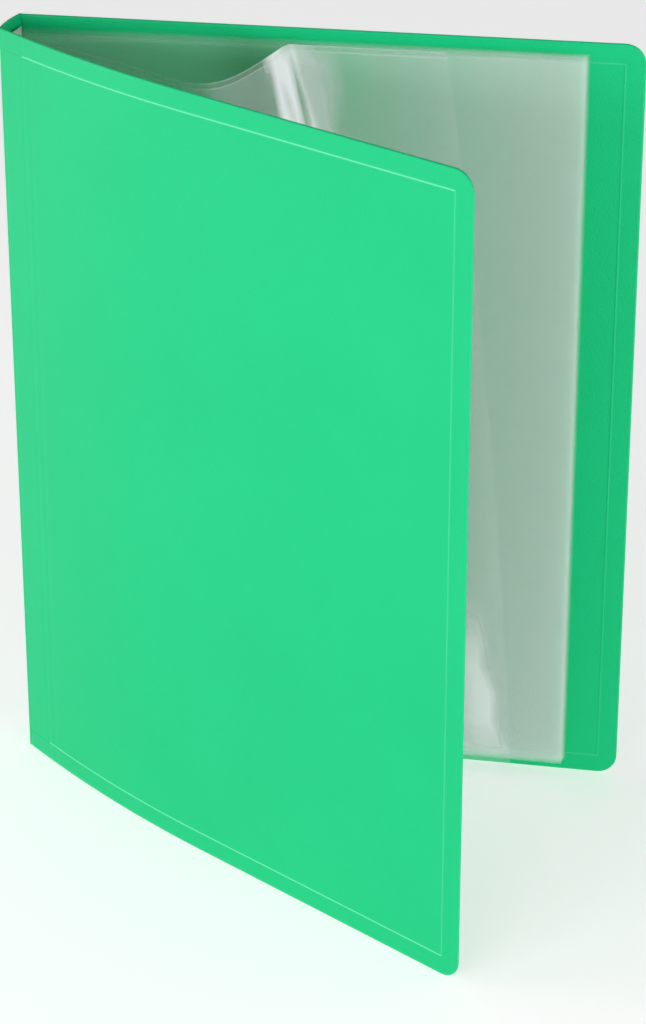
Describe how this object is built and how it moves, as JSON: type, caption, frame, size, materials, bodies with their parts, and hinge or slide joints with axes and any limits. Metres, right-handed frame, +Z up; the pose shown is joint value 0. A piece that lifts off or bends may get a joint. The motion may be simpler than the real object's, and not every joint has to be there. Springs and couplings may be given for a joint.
{
  "type": "pocket album",
  "caption": "Soft plastic album standing half open, with a creased cover and clear top-loading sheet pockets fixed inside its spine.",
  "frame": {"origin": "middle of the bounding box, on the floor that the album stands on", "axes": "+Z up along the spine, +X along the back cover from the spine to its free edge, +Y out of the back of the album"},
  "size_m": [0.2426, 0.1562, 0.31],
  "materials": {
    "cover_plastic": "fine-grained satin polypropylene sheet, solid green",
    "pocket_film": "clear polypropylene film with a faint haze",
    "binding_plastic": "translucent welded polypropylene"
  },
  "bodies": {
    "spine": {"spine": "cover_plastic", "pocket_binding_strip": "binding_plastic"},
    "front_cover": {"front_cover": "cover_plastic"},
    "back_cover": {"back_cover": "cover_plastic"},
    "pocket_01": {"pocket_01_front_film": "pocket_film", "pocket_01_back_film": "pocket_film"},
    "pocket_01_outer": {"pocket_01_outer_front_film": "pocket_film", "pocket_01_outer_back_film": "pocket_film"},
    "pocket_02": {"pocket_02_front_film": "pocket_film", "pocket_02_back_film": "pocket_film"},
    "pocket_03": {"pocket_03_front_film": "pocket_film", "pocket_03_back_film": "pocket_film"},
    "pocket_04": {"pocket_04_front_film": "pocket_film", "pocket_04_back_film": "pocket_film"},
    "pocket_05": {"pocket_05_front_film": "pocket_film", "pocket_05_back_film": "pocket_film"},
    "pocket_06": {"pocket_06_front_film": "pocket_film", "pocket_06_back_film": "pocket_film"},
    "pocket_07": {"pocket_07_front_film": "pocket_film", "pocket_07_back_film": "pocket_film"},
    "pocket_08": {"pocket_08_front_film": "pocket_film", "pocket_08_back_film": "pocket_film"},
    "pocket_09": {"pocket_09_front_film": "pocket_film", "pocket_09_back_film": "pocket_film"},
    "pocket_10": {"pocket_10_front_film": "pocket_film", "pocket_10_back_film": "pocket_film"},
    "pocket_11": {"pocket_11_front_film": "pocket_film", "pocket_11_back_film": "pocket_film"},
    "pocket_12": {"pocket_12_front_film": "pocket_film", "pocket_12_back_film": "pocket_film"},
    "pocket_13": {"pocket_13_front_film": "pocket_film", "pocket_13_back_film": "pocket_film"},
    "pocket_14": {"pocket_14_front_film": "pocket_film", "pocket_14_back_film": "pocket_film"},
    "pocket_15": {"pocket_15_front_film": "pocket_film", "pocket_15_back_film": "pocket_film"},
    "pocket_16": {"pocket_16_front_film": "pocket_film", "pocket_16_back_film": "pocket_film"},
    "pocket_17": {"pocket_17_front_film": "pocket_film", "pocket_17_back_film": "pocket_film"},
    "pocket_18": {"pocket_18_front_film": "pocket_film", "pocket_18_back_film": "pocket_film"},
    "pocket_19": {"pocket_19_front_film": "pocket_film", "pocket_19_back_film": "pocket_film"},
    "pocket_20": {"pocket_20_front_film": "pocket_film", "pocket_20_back_film": "pocket_film"}
  },
  "joints": [
    {"name": "front_cover_hinge", "type": "hinge", "parent": "spine", "child": "front_cover", "pos_m": [-0.12082, 0.05772, 0], "axis": [0, 0, 1], "range_deg": [-54, 36]},
    {"name": "back_cover_hinge", "type": "hinge", "parent": "spine", "child": "back_cover", "pos_m": [-0.11873, 0.07761, 0], "axis": [0, 0, 1], "range_deg": [0, 174]},
    {"name": "pocket_01_turn", "type": "hinge", "parent": "spine", "child": "pocket_01", "pos_m": [-0.11893, 0.06094, 0], "axis": [0, 0, 1], "range_deg": [-41.1, 27.4]},
    {"name": "pocket_01_outer_slide", "type": "slide", "parent": "spine", "child": "pocket_01_outer", "axis": [0.999, 0.0446, 0], "range_m": [-0.0689, 0.0459]},
    {"name": "pocket_02_turn", "type": "hinge", "parent": "spine", "child": "pocket_02", "pos_m": [-0.11885, 0.0617, 0], "axis": [0, 0, 1], "range_deg": [0, 3.6]},
    {"name": "pocket_03_turn", "type": "hinge", "parent": "spine", "child": "pocket_03", "pos_m": [-0.11877, 0.06245, 0], "axis": [0, 0, 1], "range_deg": [0, 6.3]},
    {"name": "pocket_04_turn", "type": "hinge", "parent": "spine", "child": "pocket_04", "pos_m": [-0.11869, 0.0632, 0], "axis": [0, 0, 1], "range_deg": [0, 9]},
    {"name": "pocket_05_turn", "type": "hinge", "parent": "spine", "child": "pocket_05", "pos_m": [-0.11861, 0.06396, 0], "axis": [0, 0, 1], "range_deg": [0, 11.8]},
    {"name": "pocket_06_turn", "type": "hinge", "parent": "spine", "child": "pocket_06", "pos_m": [-0.11853, 0.06471, 0], "axis": [0, 0, 1], "range_deg": [0, 14.5]},
    {"name": "pocket_07_turn", "type": "hinge", "parent": "spine", "child": "pocket_07", "pos_m": [-0.11845, 0.06546, 0], "axis": [0, 0, 1], "range_deg": [0, 17.2]},
    {"name": "pocket_08_turn", "type": "hinge", "parent": "spine", "child": "pocket_08", "pos_m": [-0.11837, 0.06622, 0], "axis": [0, 0, 1], "range_deg": [0, 19.9]},
    {"name": "pocket_09_turn", "type": "hinge", "parent": "spine", "child": "pocket_09", "pos_m": [-0.11829, 0.06697, 0], "axis": [0, 0, 1], "range_deg": [0, 22.6]},
    {"name": "pocket_10_turn", "type": "hinge", "parent": "spine", "child": "pocket_10", "pos_m": [-0.11821, 0.06773, 0], "axis": [0, 0, 1], "range_deg": [0, 25.3]},
    {"name": "pocket_11_turn", "type": "hinge", "parent": "spine", "child": "pocket_11", "pos_m": [-0.11813, 0.06848, 0], "axis": [0, 0, 1], "range_deg": [0, 28]},
    {"name": "pocket_12_turn", "type": "hinge", "parent": "spine", "child": "pocket_12", "pos_m": [-0.11805, 0.06923, 0], "axis": [0, 0, 1], "range_deg": [0, 30.7]},
    {"name": "pocket_13_turn", "type": "hinge", "parent": "spine", "child": "pocket_13", "pos_m": [-0.11798, 0.06999, 0], "axis": [0, 0, 1], "range_deg": [0, 33.4]},
    {"name": "pocket_14_turn", "type": "hinge", "parent": "spine", "child": "pocket_14", "pos_m": [-0.1179, 0.07074, 0], "axis": [0, 0, 1], "range_deg": [0, 36.1]},
    {"name": "pocket_15_turn", "type": "hinge", "parent": "spine", "child": "pocket_15", "pos_m": [-0.11782, 0.0715, 0], "axis": [0, 0, 1], "range_deg": [0, 38.8]},
    {"name": "pocket_16_turn", "type": "hinge", "parent": "spine", "child": "pocket_16", "pos_m": [-0.11774, 0.07225, 0], "axis": [0, 0, 1], "range_deg": [0, 41.5]},
    {"name": "pocket_17_turn", "type": "hinge", "parent": "spine", "child": "pocket_17", "pos_m": [-0.11766, 0.073, 0], "axis": [0, 0, 1], "range_deg": [0, 44.2]},
    {"name": "pocket_18_turn", "type": "hinge", "parent": "spine", "child": "pocket_18", "pos_m": [-0.11758, 0.07376, 0], "axis": [0, 0, 1], "range_deg": [0, 46.9]},
    {"name": "pocket_19_turn", "type": "hinge", "parent": "spine", "child": "pocket_19", "pos_m": [-0.1175, 0.07451, 0], "axis": [0, 0, 1], "range_deg": [0, 49.6]},
    {"name": "pocket_20_turn", "type": "hinge", "parent": "spine", "child": "pocket_20", "pos_m": [-0.11742, 0.07526, 0], "axis": [0, 0, 1], "range_deg": [0, 52.3]}
  ],
  "couplings": [
    {"joint": "pocket_01_turn", "follows": "front_cover_hinge", "ratio": 0.76},
    {"joint": "pocket_01_outer_slide", "follows": "front_cover_hinge", "m_per_rad": 0.073},
    {"joint": "pocket_02_turn", "follows": "back_cover_hinge", "ratio": 0.02},
    {"joint": "pocket_03_turn", "follows": "back_cover_hinge", "ratio": 0.0356},
    {"joint": "pocket_04_turn", "follows": "back_cover_hinge", "ratio": 0.0511},
    {"joint": "pocket_05_turn", "follows": "back_cover_hinge", "ratio": 0.0667},
    {"joint": "pocket_06_turn", "follows": "back_cover_hinge", "ratio": 0.0822},
    {"joint": "pocket_07_turn", "follows": "back_cover_hinge", "ratio": 0.0978},
    {"joint": "pocket_08_turn", "follows": "back_cover_hinge", "ratio": 0.1133},
    {"joint": "pocket_09_turn", "follows": "back_cover_hinge", "ratio": 0.1289},
    {"joint": "pocket_10_turn", "follows": "back_cover_hinge", "ratio": 0.1444},
    {"joint": "pocket_11_turn", "follows": "back_cover_hinge", "ratio": 0.16},
    {"joint": "pocket_12_turn", "follows": "back_cover_hinge", "ratio": 0.1756},
    {"joint": "pocket_13_turn", "follows": "back_cover_hinge", "ratio": 0.1911},
    {"joint": "pocket_14_turn", "follows": "back_cover_hinge", "ratio": 0.2067},
    {"joint": "pocket_15_turn", "follows": "back_cover_hinge", "ratio": 0.2222},
    {"joint": "pocket_16_turn", "follows": "back_cover_hinge", "ratio": 0.2378},
    {"joint": "pocket_17_turn", "follows": "back_cover_hinge", "ratio": 0.2533},
    {"joint": "pocket_18_turn", "follows": "back_cover_hinge", "ratio": 0.2689},
    {"joint": "pocket_19_turn", "follows": "back_cover_hinge", "ratio": 0.2844},
    {"joint": "pocket_20_turn", "follows": "back_cover_hinge", "ratio": 0.3}
  ]
}
